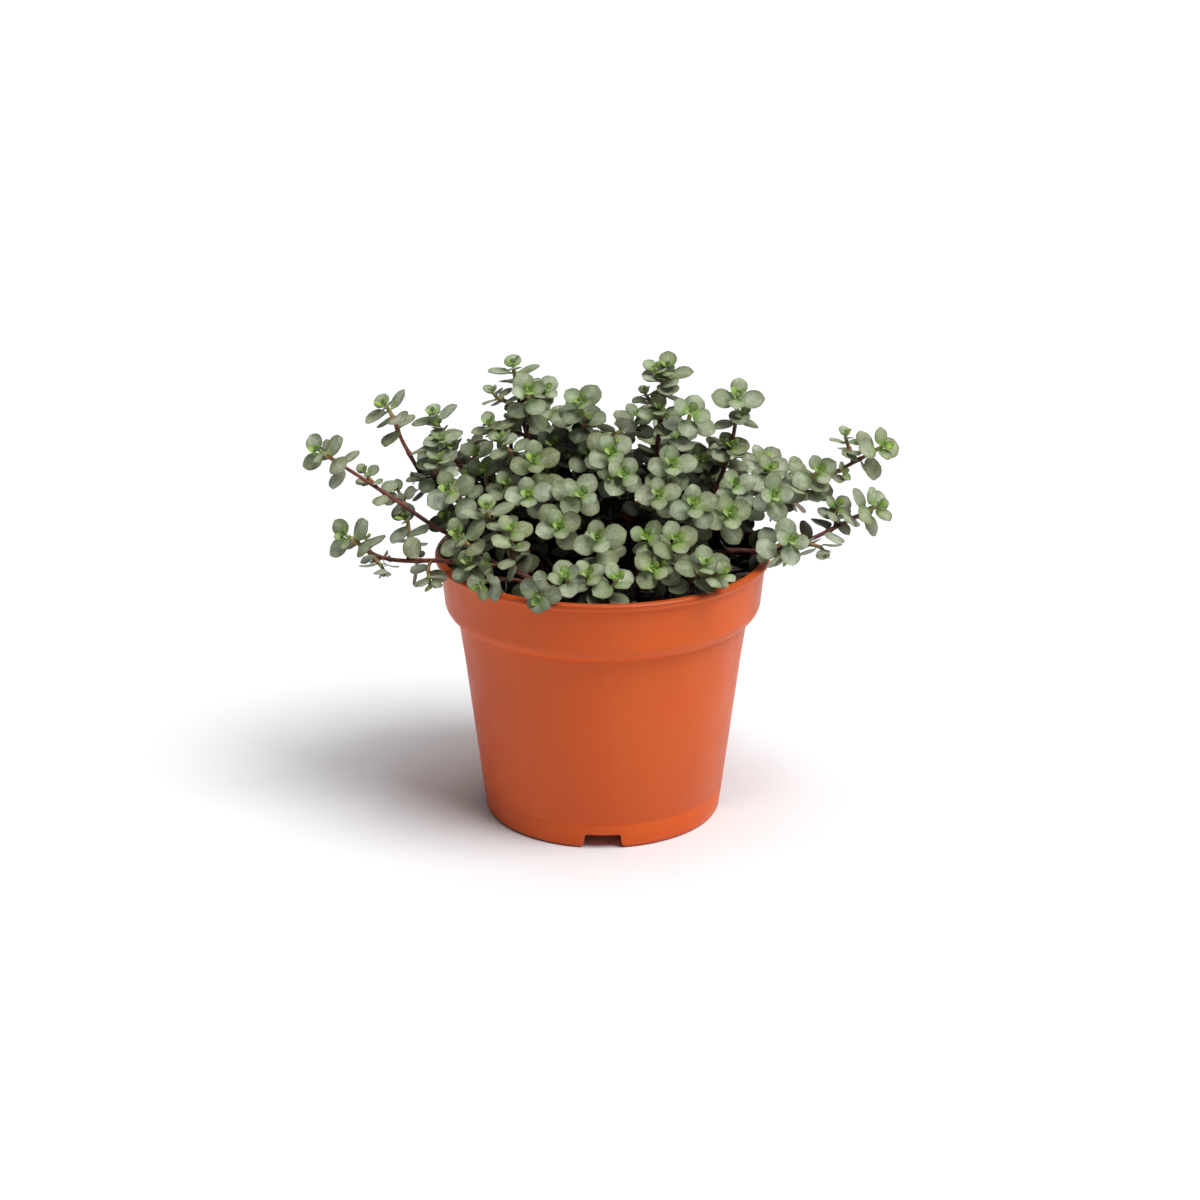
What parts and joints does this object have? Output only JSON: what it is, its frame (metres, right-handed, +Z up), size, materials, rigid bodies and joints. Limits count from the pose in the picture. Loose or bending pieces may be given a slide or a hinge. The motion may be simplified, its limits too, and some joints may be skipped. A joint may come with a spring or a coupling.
{
  "type": "potted pilea",
  "caption": "Bushy small-leaved grey-green pilea with red-brown stems, growing in dark peat in a round terracotta-coloured plastic nursery pot.",
  "frame": {"origin": "on the pot's axis, in the plane of its foot ring, which is the surface that it stands on", "axes": "+Z up along the pot's axis; +X to the right along the plant's widest spread; +Y to the back, so the front notch of the foot is towards -Y"},
  "size_m": [0.2089, 0.1209, 0.1645],
  "materials": {
    "pot": "satin",
    "soil": "matte",
    "stem": "matte",
    "leaf": "matte"
  },
  "bodies": {
    "root": {"pot": "pot", "soil": "soil", "stem_01": "stem", "stem_02": "stem", "stem_03": "stem", "stem_04": "stem", "stem_05": "stem", "stem_06": "stem", "stem_07": "stem", "stem_08": "stem", "stem_09": "stem", "stem_10": "stem", "stem_11": "stem", "stem_12": "stem", "stem_13": "stem", "stem_14": "stem", "stem_15": "stem", "stem_16": "stem", "stem_17": "stem", "stem_18": "stem", "stem_19": "stem", "stem_20": "stem", "stem_21": "stem", "stem_22": "stem", "stem_23": "stem", "stem_24": "stem", "leafy_top_01": "leaf", "leafy_top_02": "leaf", "leafy_top_03": "leaf", "leafy_top_04": "leaf", "leafy_top_05": "leaf", "leafy_top_06": "leaf", "leafy_top_07": "leaf", "leafy_top_08": "leaf", "leafy_top_09": "leaf", "leafy_top_10": "leaf", "leafy_top_11": "leaf", "leafy_top_12": "leaf", "leafy_top_13": "leaf", "leafy_top_14": "leaf", "leafy_top_15": "leaf", "leafy_top_16": "leaf", "leafy_top_17": "leaf", "leafy_top_18": "leaf", "leafy_top_19": "leaf", "leafy_top_20": "leaf", "leafy_top_21": "leaf", "leafy_top_22": "leaf", "leafy_top_23": "leaf", "leafy_top_24": "leaf", "leafy_top_25": "leaf", "leafy_top_26": "leaf", "leafy_top_27": "leaf", "leafy_top_28": "leaf", "leafy_top_29": "leaf", "leafy_top_30": "leaf", "leafy_top_31": "leaf", "leafy_top_32": "leaf", "leafy_top_33": "leaf"}
  },
  "joints": []
}
